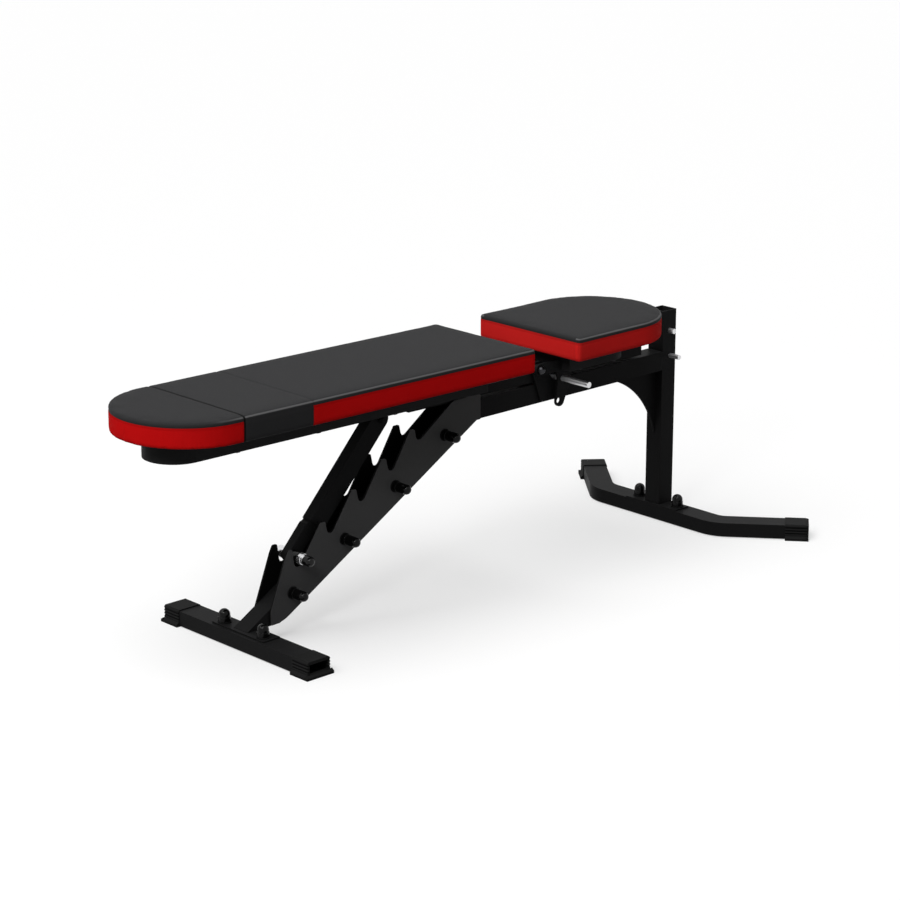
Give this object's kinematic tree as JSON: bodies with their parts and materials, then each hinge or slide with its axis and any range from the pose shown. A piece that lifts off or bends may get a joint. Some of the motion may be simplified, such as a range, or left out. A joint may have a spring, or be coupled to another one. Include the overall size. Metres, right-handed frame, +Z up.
{
  "type": "adjustable weight bench",
  "caption": "Adjustable weight bench: long backrest pad with a swinging prop in a notched ladder, tilting seat pad, and a square tube frame on two feet.",
  "frame": {"origin": "on the floor, under the middle of the bounding box", "axes": "+X along the bench from the round head end to the post, +Y across it, +Z up"},
  "size_m": [1.5414, 0.6638, 0.4929],
  "materials": {
    "frame_steel": "satin black powder coat",
    "bright_steel": "polished",
    "fastener_steel": "dull zinc plate",
    "cap_plastic": "moulded black plastic",
    "pad_vinyl": "grained black vinyl top, ribbed red vinyl sides",
    "base_shell": "plain black vinyl over a boxed board"
  },
  "bodies": {
    "frame": {"front_foot_tube": "frame_steel", "front_cap_left": "cap_plastic", "front_cap_right": "cap_plastic", "front_flange": "frame_steel", "leg_tube": "frame_steel", "ladder_plate_left": "frame_steel", "ladder_plate_right": "frame_steel", "ladder_bolts": "fastener_steel", "ladder_washers": "frame_steel", "ladder_nuts": "fastener_steel", "ladder_nut_covers": "cap_plastic", "main_beam": "frame_steel", "gusset_plate": "frame_steel", "post_tube": "frame_steel", "rear_flange": "frame_steel", "rear_foot_tube": "frame_steel", "rear_cap_left": "cap_plastic", "rear_cap_right": "cap_plastic", "foot_bolts": "fastener_steel", "foot_washers": "frame_steel", "foot_nuts": "fastener_steel", "foot_nut_covers": "cap_plastic", "hinge_bracket_left": "frame_steel", "hinge_bracket_right": "frame_steel", "hinge_bolt": "fastener_steel", "hinge_spacers": "frame_steel", "hinge_nut": "frame_steel"},
    "backrest": {"backrest_pad": "pad_vinyl", "backrest_base": "base_shell", "backrest_tube": "frame_steel", "backrest_tube_plug": "cap_plastic", "backrest_sleeve": "frame_steel", "backrest_screws": "fastener_steel", "prop_bracket": "frame_steel", "prop_pivot_bolt": "fastener_steel", "prop_pivot_nut": "fastener_steel"},
    "prop": {"prop_tube": "frame_steel", "prop_tongue": "frame_steel", "prop_rod": "bright_steel", "prop_rollers": "bright_steel", "prop_rod_nuts": "fastener_steel", "prop_rod_covers": "cap_plastic"},
    "seat": {"seat_pad": "pad_vinyl", "seat_base": "base_shell", "seat_tube": "frame_steel", "seat_tube_plug": "cap_plastic", "seat_yoke": "frame_steel", "seat_screws": "fastener_steel"},
    "seat_pin": {"seat_pin": "bright_steel"},
    "post_pin_upper": {"post_pin_upper": "bright_steel"},
    "post_pin_lower": {"post_pin_lower": "bright_steel"}
  },
  "joints": [
    {"name": "backrest_tilt", "type": "hinge", "parent": "frame", "child": "backrest", "pos_m": [0.22189, 0, 0.404], "axis": [0, 1, 0], "range_deg": [0, 47]},
    {"name": "prop_swing", "type": "hinge", "parent": "backrest", "child": "prop", "pos_m": [-0.18141, 0, 0.37722], "axis": [0, 1, 0], "range_deg": [-78.1, 0]},
    {"name": "seat_tilt", "type": "hinge", "parent": "frame", "child": "seat", "pos_m": [0.22189, 0, 0.404], "axis": [0, -1, 0], "range_deg": [0, 20]},
    {"name": "seat_pin_slide", "type": "slide", "parent": "seat", "child": "seat_pin", "axis": [0, 1, 0], "range_m": [0, 0.16]},
    {"name": "post_pin_upper_slide", "type": "slide", "parent": "frame", "child": "post_pin_upper", "axis": [0, 1, 0], "range_m": [0, 0.06]},
    {"name": "post_pin_lower_slide", "type": "slide", "parent": "frame", "child": "post_pin_lower", "axis": [0, 1, 0], "range_m": [0, 0.08]}
  ],
  "couplings": [
    {"joint": "prop_swing", "follows": "backrest_tilt", "ratio": -1.66}
  ]
}
